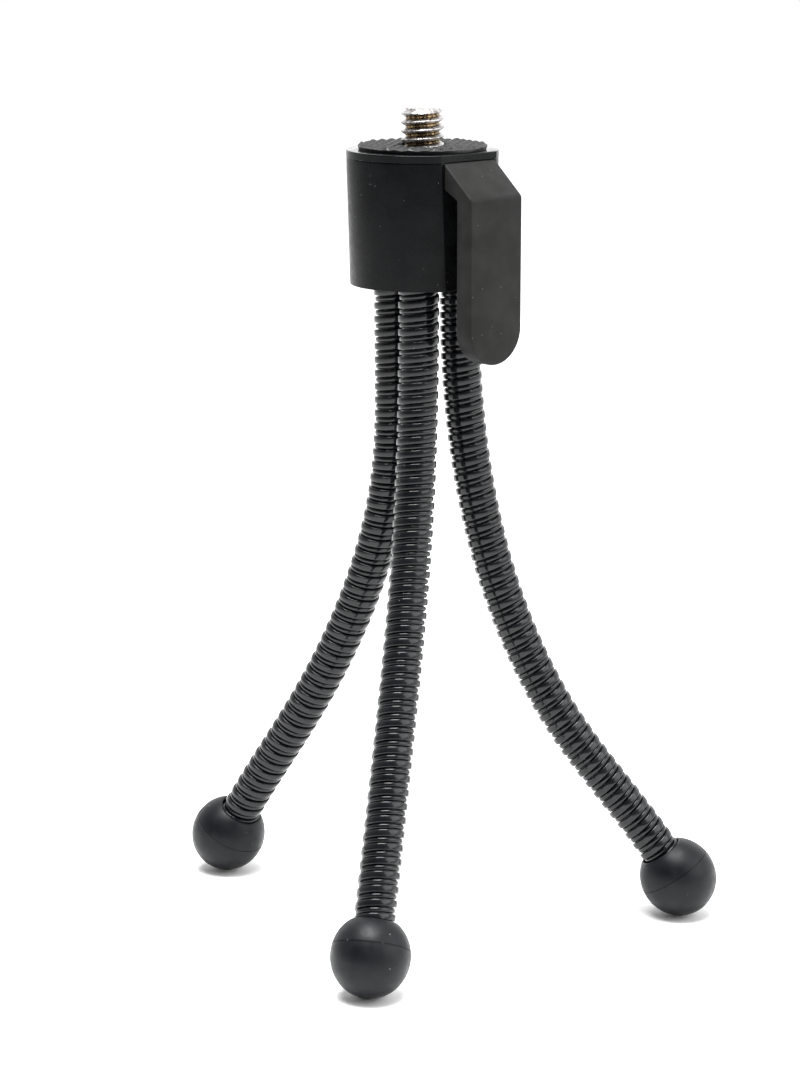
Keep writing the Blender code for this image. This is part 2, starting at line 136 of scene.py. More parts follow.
# The seam's section: a shallow groove and a faint lip, as (angle from the seam, depth).
SEAM_SECTION = (
    (-0.024, 0.0), (-0.011, 0.0), (-0.006, 0.07 * MM), (0.004, 0.07 * MM), (0.009, -0.015 * MM), (0.03, 0.0),
)
HOSE_INTO_BALL = 1.9 * MM
FIRST_BEND, SECOND_BEND, THIRD_BEND = 6 * MM, 36 * MM, 66 * MM
BEND_REACH = 8 * MM
LEAN_STEP = 20 * MM
# Degrees that each leg leans after each further 20 mm.
LEANS = {
    "front": (6.8, 19.1, 27.6, 29.3, 30.4),
    "right": (6.0, 14.7, 25.9, 38.1, 34.1),
    "left": (1.3, 16.6, 27.7, 34.3, 30.7),
}


# ---------------------------------------------------------------- material building
class Finish:
    """A material with one Principled shader, and short calls for the textures that feed it."""

    def __init__(self, name, colour, roughness, metallic=0.0, shine=0.5):
        self.material = bpy.data.materials.new(name)
        self.material.use_nodes = True
        self.nodes = self.material.node_tree.nodes
        self.links = self.material.node_tree.links
        self.shader = self.nodes["Principled BSDF"]
        self.shader.inputs["Base Color"].default_value = (*colour, 1)
        self.shader.inputs["Roughness"].default_value = roughness
        self.shader.inputs["Metallic"].default_value = metallic
        self.shader.inputs["Specular IOR Level"].default_value = shine
        self.place = self.nodes.new("ShaderNodeTexCoord").outputs["Object"]
        self.normal = None

    def noise(self, size, detail=3.0, stretch=None):
        node = self.nodes.new("ShaderNodeTexNoise")
        node.inputs["Scale"].default_value = 1 / size
        node.inputs["Detail"].default_value = detail
        self.links.new(self.stretched(stretch), node.inputs["Vector"])
        return node.outputs["Fac"]

    def cells(self, size):
        node = self.nodes.new("ShaderNodeTexVoronoi")
        node.inputs["Scale"].default_value = 1 / size
        self.links.new(self.place, node.inputs["Vector"])
        return node

    def stretched(self, stretch):
        if not stretch:
            return self.place
        mapping = self.nodes.new("ShaderNodeMapping")
        mapping.inputs["Scale"].default_value = stretch
        self.links.new(self.place, mapping.inputs["Vector"])
        return mapping.outputs["Vector"]

    def ramp(self, value, low, high, first=0.0, last=1.0, smooth=True):
        """Maps low..high of a value to first..last, clamped."""
        node = self.nodes.new("ShaderNodeMapRange")
        node.interpolation_type = "SMOOTHSTEP" if smooth else "LINEAR"
        for name, number in (("From Min", low), ("From Max", high), ("To Min", first), ("To Max", last)):
            node.inputs[name].default_value = number
        self.links.new(value, node.inputs["Value"])
        return node.outputs["Result"]

    def maths(self, operation, first, second):
        node = self.nodes.new("ShaderNodeMath")
        node.operation = operation
        for socket, value in zip(node.inputs, (first, second)):
            if isinstance(value, (int, float)):
                socket.default_value = value
            else:
                self.links.new(value, socket)
        return node.outputs["Value"]

    def mix(self, factor, first, second):
        node = self.nodes.new("ShaderNodeMix")
        node.data_type = "RGBA"
        self.links.new(factor, node.inputs["Factor"])
        for index, colour in ((6, first), (7, second)):
            if isinstance(colour, tuple):
                node.inputs[index].default_value = (*colour, 1)
            else:
                self.links.new(colour, node.inputs[index])
        return node.outputs[2]

    def colour(self, output):
        self.links.new(output, self.shader.inputs["Base Color"])

    def roughness(self, output):
        self.links.new(output, self.shader.inputs["Roughness"])

    def bump(self, height, distance, strength=1.0):
        """Adds a layer of relief. Layers stack in the order that they are added."""
        node = self.nodes.new("ShaderNodeBump")
        node.inputs["Distance"].default_value = distance
        node.inputs["Strength"].default_value = strength
        self.links.new(height, node.inputs["Height"])
        if self.normal:
            self.links.new(self.normal, node.inputs["Normal"])
        self.normal = node.outputs["Normal"]
        self.links.new(self.normal, self.shader.inputs["Normal"])


def dust(finish, base, speck, size, share):
    """Sparse pale specks of lint and mould dust over a base colour."""
    cells = finish.cells(size)
    near = finish.ramp(cells.outputs["Distance"], 0.05, 0.16, 1, 0)
    separate = finish.nodes.new("ShaderNodeSeparateColor")
    finish.links.new(cells.outputs["Color"], separate.inputs["Color"])
    chosen = finish.ramp(separate.outputs["Red"], 1 - share, 1 - share * 0.6)
    return finish.mix(finish.maths("MULTIPLY", near, chosen), base, speck)


def moulded_plastic(name, dark, light, roughness, grain, shine):
    """Black moulded plastic: a fine spark texture, faint cloudy tone and a few specks."""
    finish = Finish(name, dark, roughness, shine=shine)
    cloud = finish.ramp(finish.noise(4 * MM, 4), 0.35, 0.7)
    tone = finish.mix(cloud, dark, light)
    finish.colour(dust(finish, tone, (0.09, 0.09, 0.088), 0.7 * MM, 0.1))
    fine = finish.noise(grain, 2)
    finish.roughness(finish.ramp(finish.noise(1.3 * MM, 5), 0.3, 0.7, roughness - 0.05, roughness + 0.06))
    finish.bump(finish.noise(2.2 * MM, 3), 0.02 * MM, 0.4)
    finish.bump(fine, 0.012 * MM, 0.7)
    return finish.material


def ball_rubber():
    finish = Finish("ball_rubber", (0.004, 0.0048, 0.0062), 0.42, shine=0.19)
    cloud = finish.ramp(finish.noise(3 * MM, 4), 0.35, 0.7)
    tone = finish.mix(cloud, (0.003, 0.0036, 0.0048), (0.0055, 0.0064, 0.008))
    finish.colour(dust(finish, tone, (0.12, 0.12, 0.12), 1.0 * MM, 0.1))
    finish.roughness(finish.ramp(finish.noise(1.6 * MM, 4), 0.3, 0.7, 0.36, 0.48))
    finish.bump(finish.noise(1.2 * MM, 3), 0.02 * MM, 0.5)
    finish.bump(finish.noise(0.16 * MM, 2), 0.01 * MM, 0.7)
    return finish.material


def pad_rubber():
    finish = Finish("pad_rubber", (0.006, 0.006, 0.0065), 0.5, shine=0.38)
    cloud = finish.ramp(finish.noise(2 * MM, 4), 0.35, 0.7)
    tone = finish.mix(cloud, (0.004, 0.004, 0.0045), (0.01, 0.01, 0.011))
    finish.colour(dust(finish, tone, (0.1, 0.1, 0.1), 0.6 * MM, 0.12))
    finish.roughness(finish.ramp(finish.noise(0.7 * MM, 4), 0.3, 0.7, 0.35, 0.6))
    finish.bump(finish.noise(0.25 * MM, 3), 0.03 * MM, 0.8)
    return finish.material


def hose_paint():
    """Semi-gloss black coating on wound steel strip, rubbed a little along the winding."""
    finish = Finish("hose_paint", (0.005, 0.0058, 0.0068), 0.14, shine=0.34)
    cloud = finish.ramp(finish.noise(2.5 * MM, 4), 0.35, 0.7)
    tone = finish.mix(cloud, (0.0036, 0.0043, 0.0052), (0.008, 0.0088, 0.01))
    finish.colour(dust(finish, tone, (0.1, 0.1, 0.1), 0.7 * MM, 0.05))
    finish.roughness(finish.ramp(finish.noise(0.9 * MM, 5), 0.3, 0.7, 0.1, 0.2))
    finish.bump(finish.noise(0.5 * MM, 3, (1, 1, 3)), 0.006 * MM, 0.4)
    return finish.material


def screw_plating():
    """Bright plating that has gone brown and brassy down in the thread."""
    finish = Finish("screw_plating", (0.7, 0.68, 0.64), 0.25, 1.0)
    centred = finish.nodes.new("ShaderNodeVectorMath")
    centred.operation = "SUBTRACT"
    centred.inputs[1].default_value = (AXIS.x, AXIS.y, 0)
    finish.links.new(finish.place, centred.inputs[0])
    split = finish.nodes.new("ShaderNodeSeparateXYZ")
    finish.links.new(centred.outputs["Vector"], split.inputs["Vector"])
    squares = [finish.maths("MULTIPLY", split.outputs[i], split.outputs[i]) for i in (0, 1)]
    radius = finish.maths("SQRT", finish.maths("ADD", *squares), 0.0)
    wander = finish.ramp(finish.noise(0.5 * MM, 5), 0, 1, -0.2 * MM, 0.2 * MM, False)
    ragged = finish.maths("ADD", radius, wander)
    depth = finish.ramp(ragged, THREAD_R - 0.6 * MM, THREAD_R - 0.44 * MM)
    patches = finish.ramp(finish.noise(0.4 * MM, 5), 0.44, 0.58)
    root = finish.mix(patches, (0.05, 0.03, 0.015), (0.36, 0.27, 0.155))
    dull = finish.ramp(finish.noise(0.5 * MM, 5), 0.42, 0.6)
    crest = finish.mix(dull, (0.47, 0.46, 0.46), (0.23, 0.21, 0.195))
    near_top = TOP_Z + SCREW_TOP
    clean = finish.ramp(split.outputs[2], near_top - 0.5 * MM, near_top - 0.25 * MM)
    finish.colour(finish.mix(finish.maths("MAXIMUM", depth, clean), root, crest))
    finish.roughness(finish.ramp(finish.noise(0.3 * MM, 4), 0.3, 0.7, 0.2, 0.42))
    finish.bump(finish.noise(0.3 * MM, 4), 0.035 * MM, 0.8)
    return finish.material


def worked_metal(name, dark, light, roughness):
    """Plain drawn or stamped metal for the pieces inside."""
    finish = Finish(name, light, roughness, 1.0)
    finish.colour(finish.mix(finish.ramp(finish.noise(1.5 * MM, 4), 0.35, 0.7), dark, light))
    finish.roughness(finish.ramp(finish.noise(0.6 * MM, 4), 0.3, 0.7, roughness - 0.08, roughness + 0.1))
    finish.bump(finish.noise(0.3 * MM, 3, (1, 1, 0.2)), 0.01 * MM, 0.6)
    return finish.material


def washer_nylon():
    finish = Finish("washer_nylon", (0.72, 0.71, 0.67), 0.45)
    finish.colour(finish.mix(finish.noise(1.5 * MM, 3), (0.66, 0.65, 0.6), (0.78, 0.77, 0.74)))
    finish.bump(finish.noise(0.3 * MM, 3), 0.01 * MM, 0.5)
    return finish.material


HEAD_BLACK = ((0.0026, 0.0029, 0.0033), (0.0044, 0.0048, 0.0052))
CAP_BLACK = ((0.0035, 0.0038, 0.0042), (0.006, 0.0064, 0.0068))
LEVER_BLACK = ((0.011, 0.011, 0.0107), (0.016, 0.016, 0.0156))
HOUSING_PLASTIC = moulded_plastic("housing_plastic", *HEAD_BLACK, 0.28, 0.22 * MM, 0.07)
CAP_PLASTIC = moulded_plastic("cap_plastic", *CAP_BLACK, 0.14, 0.4 * MM, 0.11)
LEVER_PLASTIC = moulded_plastic("lever_plastic", *LEVER_BLACK, 0.45, 0.2 * MM, 0.08)
BALL_RUBBER = ball_rubber()
PAD_RUBBER = pad_rubber()
HOSE_PAINT = hose_paint()
SCREW_PLATING = screw_plating()
PLATED_STEEL = worked_metal("plated_steel", (0.5, 0.48, 0.45), (0.66, 0.64, 0.6), 0.3)
SOFT_WIRE = worked_metal("soft_wire", (0.6, 0.6, 0.6), (0.75, 0.75, 0.75), 0.42)
WASHER_NYLON = washer_nylon()


# ---------------------------------------------------------------- shape building
def head_point(out, across, down):
    """A place on the head: out along the flat's normal, across along the flat, down from the cap's top."""
    return Vector((AXIS.x, AXIS.y, TOP_Z - down)) + out * OUT + across * ALONG


def loft(rings):
    """Skins rings of points. A ring of one point is a pole, and open ends are capped."""
    bm = bmesh.new()
    made = [[bm.verts.new(point) for point in ring] for ring in rings]
    for first, second in zip(made, made[1:]):
        count = max(len(first), len(second))
        for i in range(count):
            j = (i + 1) % count
            corners = [first[i % len(first)], first[j % len(first)]]
            corners += [second[j % len(second)], second[i % len(second)]]
            bm.faces.new(dict.fromkeys(corners))
    for ring in (made[0], made[-1]):
        if len(ring) > 1:
            bm.faces.new(ring)
    return bm


def flat_sided_ring(radius, flat, down, count=112):
    half = math.acos(min(1.0, flat / radius))
    angles = [half + (2 * math.pi - 2 * half) * i / count for i in range(count + 1)]
    return [head_point(radius * math.cos(a), radius * math.sin(a), down) for a in angles]


def round_ring(radius, down, count=96):
    if radius == 0:
        return [Vector((AXIS.x, AXIS.y, TOP_Z - down))]
    angles = [2 * math.pi * i / count for i in range(count)]
    return [
        Vector((AXIS.x + radius * math.cos(a), AXIS.y + radius * math.sin(a), TOP_Z - down)) for a in angles
    ]


def block(out, across, down):
    rings = []
    for d in down:
        rings.append([head_point(out[0], across[0], d), head_point(out[1], across[0], d),
                      head_point(out[1], across[1], d), head_point(out[0], across[1], d)])
    return loft(rings)


def rod_across(out, down, radius, first, last, sides=32):
    rings = []
    for across in (first, last):
        angles = [2 * math.pi * i / sides for i in range(sides)]
        rings.append([head_point(out + radius * math.cos(a), across, down + radius * math.sin(a))
                      for a in angles])
    return loft(rings)


def mesh_object(name, bm):
    bmesh.ops.recalc_face_normals(bm, faces=bm.faces)
    mesh = bpy.data.meshes.new(name)
    bm.to_mesh(mesh)
    bm.free()
    obj = bpy.data.objects.new(name, mesh)
    bpy.context.scene.collection.objects.link(obj)
    return obj


def baked(obj, *helpers):
    """Applies an object's modifiers, and removes the helper objects that they used."""
    graph = bpy.context.evaluated_depsgraph_get()
    mesh = bpy.data.meshes.new_from_object(obj.evaluated_get(graph), depsgraph=graph)
    obj.modifiers.clear()
    obj.data = mesh
    mesh.name = obj.name
    for helper in helpers:
        bpy.data.objects.remove(helper, do_unlink=True)
    return obj


def combine(obj, operation, *shapes):
    """Cuts shapes from an object or joins them to it, and leaves a plain mesh."""
    helpers = [mesh_object("helper", shape) for shape in shapes]
    for helper in helpers:
        modifier = obj.modifiers.new("shape", "BOOLEAN")
        modifier.operation = operation
        modifier.object = helper
    return baked(obj, *helpers)


def soften(obj, width):
    modifier = obj.modifiers.new("edges", "BEVEL")
    modifier.width = width
    modifier.segments = BEVEL_STEPS
    modifier.limit_method = "ANGLE"
    modifier.angle_limit = math.radians(25)
    return baked(obj)


def finish_piece(obj, material, body, replaces=(), angle=30):
    obj.data.materials.clear()
    obj.data.materials.append(material)
    obj.data.shade_smooth()
    obj.data.set_sharp_from_angle(angle=math.radians(angle))
    if body:
        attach(obj, body)
    for node in replaces:
        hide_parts(node)
    return obj


# ---------------------------------------------------------------- head
def make_housing():
    """Drafted round body with a flat, softened edges, and the hollow inside it."""
    top, edge = CAP_THICKNESS + 0.02 * MM, 0.1 * MM
    groove_r, groove_flat = HOUSING_R_TOP - edge, FLAT - edge
    rings = [
        flat_sided_ring(groove_r, groove_flat, top),
        flat_sided_ring(HOUSING_R_TOP, FLAT, top + edge),
        flat_sided_ring(HOUSING_R_BOTTOM, FLAT, HEAD_HEIGHT - 0.02 * MM),
    ]
    housing = mesh_object("housing", loft(rings))
    soften(housing, HOUSING_EDGE)
    cavity = loft([flat_sided_ring(CAVITY_R, CAVITY_FLAT, d) for d in (0, MID_WALL_TOP)])
    base = loft([flat_sided_ring(BASE_R, BASE_FLAT, d) for d in (MID_WALL_BOTTOM, 30 * MM)])
    window = block((5 * MM, 12 * MM), (-WINDOW_HALF, WINDOW_HALF), (WINDOW_TOP, WINDOW_BOTTOM))
    pin_hole = rod_across(PIN_OUT, PIN_DOWN, PIN_HOLE_R, -4.6 * MM, 9 * MM)
    screw_hole = loft([round_ring(1.2 * MM, d, 24) for d in (9 * MM, 12 * MM)])
    combine(housing, "DIFFERENCE", cavity, base, window, pin_hole, screw_hole)
    return finish_piece(housing, HOUSING_PLASTIC, "head", ["head_housing"])


def make_cap():
    """The thin plate on top, proud of the body, with its plug and the recess for the pad's disc."""
    edge, lower_edge = 0.16 * MM, 0.06 * MM
    rings = []
    for i in range(6):
        angle = math.radians(18 * i)
        inset = edge * (1 - math.sin(angle))
        rings.append(flat_sided_ring(CAP_R - inset, CAP_FLAT - inset, edge * (1 - math.cos(angle))))
    rings += [
        flat_sided_ring(CAP_R, CAP_FLAT, 1.3 * edge),
        flat_sided_ring(CAP_R, CAP_FLAT, CAP_THICKNESS - 1.5 * lower_edge),
        flat_sided_ring(CAP_R, CAP_FLAT, CAP_THICKNESS - lower_edge),
        flat_sided_ring(CAP_R - lower_edge, CAP_FLAT - lower_edge, CAP_THICKNESS),
        flat_sided_ring(CAP_PLUG_R, CAP_PLUG_FLAT, CAP_THICKNESS),
        flat_sided_ring(CAP_PLUG_R, CAP_PLUG_FLAT, CAP_PLUG_BOTTOM),
    ]
    cap = mesh_object("cap", loft(rings))
    recess = loft([round_ring(RECESS_R, d) for d in (-1 * MM, RECESS_DEPTH)])
    neck = loft([round_ring(NECK_HOLE_R, d, 48) for d in (-1 * MM, 3 * MM)])
    combine(cap, "DIFFERENCE", recess, neck)
    return finish_piece(cap, CAP_PLASTIC, "head", ["cap_plate"])


def disc_map(u, v):
    """Takes a square from -1 to 1 to a round disc, so that a square grid gets a smooth round rim."""
    return u * math.sqrt(1 - v * v / 2), v * math.sqrt(1 - u * u / 2)


def pad_height(x, y):
    """Small rounded pyramids in rows, lower round the screw where the rubber is pressed."""
    a = (x * math.cos(BUMP_TURN) + y * math.sin(BUMP_TURN)) / BUMP_PITCH
    b = (y * math.cos(BUMP_TURN) - x * math.sin(BUMP_TURN)) / BUMP_PITCH
    peak = 1 - 2 * max(abs(a - round(a)), abs(b - round(b)))
    radius = math.hypot(x, y)
    worn = min(1.0, max(0.0, (math.hypot(x, y + 2.6 * MM) - 2.4 * MM) / (1.6 * MM)))
    rim = min(1.0, (PAD_R - radius) / (0.35 * MM))
    return (0.12 + 0.88 * min(1.0, peak * 1.25)) * (0.25 + 0.75 * worn) * (0.35 + 0.65 * rim)


def make_pad():
    count = 150
    relief = 0.5 * MM
    low = PAD_TOP - relief
    bm = bmesh.new()
    grid = []
    for j in range(count + 1):
        row = []
        for i in range(count + 1):
            x, y = disc_map(2 * i / count - 1, 2 * j / count - 1)
            x, y = x * PAD_R, y * PAD_R
            height = low + relief * pad_height(x, y)
            row.append(bm.verts.new((AXIS.x + x, AXIS.y + y, TOP_Z + height)))
        grid.append(row)
    for j in range(count):
        for i in range(count):
            bm.faces.new((grid[j][i], grid[j][i + 1], grid[j + 1][i + 1], grid[j + 1][i]))
    rim = [grid[0][i] for i in range(count)] + [grid[j][count] for j in range(count)]
    rim += [grid[count][i] for i in range(count, 0, -1)] + [grid[j][0] for j in range(count, 0, -1)]
    under = []
    low_z = TOP_Z + PAD_BOTTOM - PAD_SINK
    for vert in rim:
        inward = Vector((AXIS.x - vert.co.x, AXIS.y - vert.co.y, 0)).normalized() * PAD_SINK
        under.append(bm.verts.new((vert.co.x + inward.x, vert.co.y + inward.y, low_z)))
    total = len(rim)
    for i in range(total):
        j = (i + 1) % total
        bm.faces.new((rim[i], under[i], under[j], rim[j]))
    bm.faces.new(under)
    pad = mesh_object("pad", bm)
    hole = loft([round_ring(THREAD_R + 0.12 * MM, d, 64) for d in (-3 * MM, 3 * MM)])
    combine(pad, "DIFFERENCE", hole)
    return finish_piece(pad, PAD_RUBBER, "camera_mount", ["rubber_pad"], 50)


def thread_radius(turn, height):
    """Radius of a sixty degree thread with a small crest and root, fading in at the stud's top."""
    phase = (height / THREAD_PITCH - turn - THREAD_PHASE) % 1.0
    slope = min(1.0, max(0.0, (abs(phase - 0.5) - 0.07) / 0.34))
    radius = THREAD_R - THREAD_DEPTH * slope
    below_top = SCREW_TOP - height
    lead = THREAD_R - 0.62 * MM + 0.9 * below_top
    return min(radius, lead)


def make_screw():
    """The stud with its helical thread, down to the round head under the cap."""
    sides, step = 80, 0.05 * MM
    rows = int((SCREW_TOP + 0.6 * MM) / step)
    rings = [[Vector((AXIS.x, AXIS.y, TOP_Z + SCREW_TOP))]]
    for row in range(rows + 1):
        height = SCREW_TOP - row * step
        ring = []
        for i in range(sides):
            turn = i / sides
            radius = thread_radius(turn, height)
            if row == 0:
                radius -= 0.1 * MM
            ring.append(Vector((AXIS.x + radius * math.cos(2 * math.pi * turn),
                                AXIS.y + radius * math.sin(2 * math.pi * turn), TOP_Z + height)))
        rings.append(ring)
    neck, drum, drum_top, drum_bottom = 3.1 * MM, 5.4 * MM, 3.1 * MM, 6.8 * MM
    bevel = 0.25 * MM
    below = (
        (neck, 0.7 * MM), (neck, drum_top), (drum - bevel, drum_top), (drum, drum_top + bevel),
        (drum, drum_bottom - bevel), (drum - bevel, drum_bottom), (0, drum_bottom),
    )
    for radius, down in below:
        rings.append(round_ring(radius, down, sides))
    screw = mesh_object("screw", loft(rings))
    return finish_piece(screw, SCREW_PLATING, "camera_mount", ["camera_screw"], 50)


def make_lever():
    """Web under the cap, sloped shoulder and long rounded tongue, with the arm that goes in to the pin."""
    web = FLAT + LEVER_CLEARANCE
    side = [
        (web, LEVER_TOP), (LEVER_FACE - 0.12 * MM, LEVER_FOLD), (LEVER_FACE, TONGUE_TOP),
        (LEVER_FACE, LEVER_BOTTOM), (LEVER_INNER, LEVER_BOTTOM), (LEVER_INNER, TONGUE_TOP),
        (web, WEB_BOTTOM),
    ]
    body = loft([[head_point(out, across, down) for out, down in side] for across in (-10 * MM, 10 * MM)])
    lever = mesh_object("lever", body)
    end = LEVER_BOTTOM - LEVER_HALF
    steps = 40
    front = [(LEVER_HALF * math.cos(math.pi * i / steps), end + LEVER_HALF * math.sin(math.pi * i / steps))
             for i in range(steps + 1)]
    front += [(-LEVER_HALF, 0), (LEVER_HALF, 0)]
    outline = loft([[head_point(out, across, down) for across, down in front] for out in (5 * MM, 20 * MM)])
    combine(lever, "INTERSECT", outline)
    soften(lever, LEVER_EDGE)
    arm = block((PIN_OUT, web + 0.8 * MM), (-2.2 * MM, 0.8 * MM),
                (PIN_DOWN - ARM_HALF_HEIGHT, PIN_DOWN + ARM_HALF_HEIGHT))
    hub = rod_across(PIN_OUT, PIN_DOWN, HUB_R, -2.3 * MM, 0.9 * MM)
    nose = block((PIN_OUT - 1.7 * MM, PIN_OUT - 0.2 * MM), (-2.1 * MM, 0.7 * MM),
                 (PIN_DOWN - 1.25 * MM, PIN_DOWN - 0.5 * MM))
    combine(lever, "UNION", arm, hub, nose)
    combine(lever, "DIFFERENCE", rod_across(PIN_OUT, PIN_DOWN, PIN_HOLE_R, -9 * MM, 9 * MM))
    return finish_piece(lever, LEVER_PLASTIC, "lever", ["squeeze_lever"], 25)


# ---------------------------------------------------------------- legs
class Leg:
    """A leg's centre line: straight down from its hole, then bending outwards in one upright plane."""

    STEP = 0.25 * MM

    def __init__(self, name):
        self.name = name
        pivot = Vector(JOINTS[f"{name}_upper_bend"]["pos_m"])
        self.across = Vector(JOINTS[f"{name}_upper_bend"]["axis"]).normalized()
        self.out = Vector((0, 0, 1)).cross(self.across)
        self.leans = [math.radians(lean) for lean in (0, 0, *LEANS[name], LEANS[name][-1])]
        self.top = Vector((0, 0, TOP_Z - HEAD_HEIGHT))
        self.trace()
        self.top += Vector((pivot.x, pivot.y, 0)) - self.at(FIRST_BEND) * Vector((1, 1, 0))
        self.trace()

    def tilt(self, s):
        """The lean at a place along the leg, on a smooth curve through the leans."""
        step = min(max(s / LEAN_STEP, 0.0), len(self.leans) - 3 - 1e-9)
        i, t = int(step), step % 1
        before, first, last, after = self.leans[i:i + 4]
        leave = (last - before) / 2 if i else 0.0
        arrive = (after - first) / 2
        blend = t * t * (3 - 2 * t)
        return first + (last - first) * blend + leave * t * (1 - t) ** 2 - arrive * t * t * (1 - t)

    def direction(self, s):
        angle = self.tilt(s)
        return math.sin(angle) * self.out - Vector((0, 0, math.cos(angle)))

    def trace(self):
        """Walks down to where the ball stands on the floor."""
        foot_tilt = self.leans[-1]
        ball_height = math.hypot(BALL_HALF_LENGTH * math.cos(foot_tilt), BALL_R * math.sin(foot_tilt))
        place, s = self.top.copy(), 0.0
        self.places = [place.copy()]
        while place.z > ball_height:
            place += self.STEP * self.direction(s + self.STEP / 2)
            s += self.STEP
            self.places.append(place.copy())
        self.length = s - (ball_height - place.z) / math.cos(foot_tilt)

    def at(self, s):
        if s <= 0:
            return self.top - s * Vector((0, 0, 1))
        index = min(int(s / self.STEP), len(self.places) - 2)
        return self.places[index].lerp(self.places[index + 1], s / self.STEP - index)

    def ring(self, s, radius, sides, centre):
        """A ring across the leg, placed straight along the direction at the centre."""
        direction = self.direction(centre)
        place = self.at(centre) + (s - centre) * direction
        if radius == 0:
            return [place]
        normal = self.across.cross(direction)
        turns = [2 * math.pi * i / sides for i in range(sides)]
        return [place + radius * (math.cos(a) * normal + math.sin(a) * self.across) for a in turns]


def poly_curve(name, points, cyclic=False):
    curve = bpy.data.curves.new(name, "CURVE")
    curve.dimensions = "3D"
    spline = curve.splines.new("POLY")
    spline.points.add(len(points) - 1)
    for target, point in zip(spline.points, points):
        target.co = (*point, 1.0)
    spline.use_cyclic_u = cyclic
    obj = bpy.data.objects.new(name, curve)
    bpy.context.scene.collection.objects.link(obj)
    return obj


def strip_outline():
    """One pitch of the wound strip, as (out, up) points: a raised flat band, then a sunken round one."""
    half, gap = 0.51 * MM, 0.13 * MM
    band = [(GROOVE_R, -half), (HOSE_R - 0.13 * MM, -half), (HOSE_R - 0.04 * MM, 0.06 * MM - half),
            (HOSE_R - 0.008 * MM, 0.17 * MM - half), (HOSE_R, 0), (HOSE_R - 0.008 * MM, half - 0.17 * MM),
            (HOSE_R - 0.04 * MM, half - 0.06 * MM), (HOSE_R - 0.13 * MM, half), (GROOVE_R, half)]
    reach, middle = HOSE_PITCH / 2 - half - gap, HOSE_PITCH / 2
    arc = []
    for i in range(9):
        across = -1 + i / 4
        rise = math.sqrt(1 - 0.96 * across * across)
        arc.append((SUNK_R - 0.24 * MM * (1 - rise), middle + reach * across))
    inside = GROOVE_R - 0.2 * MM
    low = [(GROOVE_R, half + gap), *arc, (GROOVE_R, HOSE_PITCH - half - gap)]
    return band + low + [(GROOVE_R, HOSE_PITCH - half), (inside, HOSE_PITCH - half), (inside, -half)]


class Tree:
    """A geometry node tree with named inputs, and short calls for its nodes."""

    def __init__(self, name, inputs):
        self.group = bpy.data.node_groups.new(name, "GeometryNodeTree")
        interface = self.group.interface
        interface.new_socket("Geometry", in_out="INPUT", socket_type="NodeSocketGeometry")
        for label, kind in inputs:
            interface.new_socket(label, in_out="INPUT", socket_type=kind)
        interface.new_socket("Geometry", in_out="OUTPUT", socket_type="NodeSocketGeometry")
        self.inputs = self.group.nodes.new("NodeGroupInput").outputs
        self.result = self.group.nodes.new("NodeGroupOutput").inputs["Geometry"]

    def node(self, kind, values=(), **settings):
        node = self.group.nodes.new(kind)
        for name, value in settings.items():
            setattr(node, name, value)
        for socket, value in dict(values).items():
            if isinstance(value, bpy.types.NodeSocket):
                self.group.links.new(value, node.inputs[socket])
            else:
                node.inputs[socket].default_value = value
        return node

    def maths(self, operation, first, second=0.0):
        return self.node("ShaderNodeMath", {0: first, 1: second}, operation=operation).outputs[0]

    def vector(self, operation, first, second):
        return self.node("ShaderNodeVectorMath", {0: first, 1: second}, operation=operation).outputs[0]

    def scaled(self, vector, factor):
        return self.node("ShaderNodeVectorMath", {0: vector, "Scale": factor}, operation="SCALE").outputs[0]


def strip_tree():
    """Winds a strip of a given outline round a centre line, right-handed."""
    tree = Tree("wound_strip", [
        ("Outline", "NodeSocketObject"), ("Material", "NodeSocketMaterial"), ("Across", "NodeSocketVector"),
        ("Steps", "NodeSocketInt"), ("Points per Turn", "NodeSocketInt"), ("First Turn", "NodeSocketFloat"),
    ])
    given = tree.inputs
    line = tree.node("GeometryNodeResampleCurve", {"Curve": given["Geometry"], "Count": given["Steps"]})
    index = tree.node("GeometryNodeInputIndex").outputs[0]
    turns = tree.maths("ADD", tree.maths("DIVIDE", index, given["Points per Turn"]), given["First Turn"])
    angle = tree.maths("MULTIPLY", turns, 2 * math.pi)
    tangent = tree.node("GeometryNodeInputTangent").outputs[0]
    normal = tree.vector("CROSS_PRODUCT", given["Across"], tangent)
    radial = tree.vector("ADD", tree.scaled(normal, tree.maths("COSINE", angle)),
                         tree.scaled(given["Across"], tree.maths("SINE", angle)))
    kept = tree.node("GeometryNodeCaptureAttribute", {"Geometry": line.outputs[0]})
    kept.capture_items.new("VECTOR", "Radial")
    tree.group.links.new(radial, kept.inputs["Radial"])
    out = kept.outputs["Radial"]
    wound = tree.node("GeometryNodeSetPosition", {"Geometry": kept.outputs[0],
                                                  "Offset": tree.scaled(out, GROOVE_R)})
    faced = tree.node("GeometryNodeSetCurveNormal", {"Curve": wound.outputs[0]}, mode="FREE")
    tree.group.links.new(out, faced.inputs["Normal"])
    outline = tree.node("GeometryNodeObjectInfo", {"Object": given["Outline"]})
    swept = tree.node("GeometryNodeCurveToMesh", {
        "Curve": faced.outputs[0], "Profile Curve": outline.outputs["Geometry"], "Fill Caps": True})
    real = tree.node("GeometryNodeRealizeInstances", {"Geometry": swept.outputs[0]})
    painted = tree.node("GeometryNodeSetMaterial", {
        "Geometry": real.outputs[0], "Material": given["Material"]})
    tree.group.links.new(painted.outputs[0], tree.result)
    return tree.group




def set_inputs(modifier, values):
    for item in modifier.node_group.interface.items_tree:
        if item.in_out == "INPUT" and item.name in values:
            modifier[item.identifier] = values[item.name]


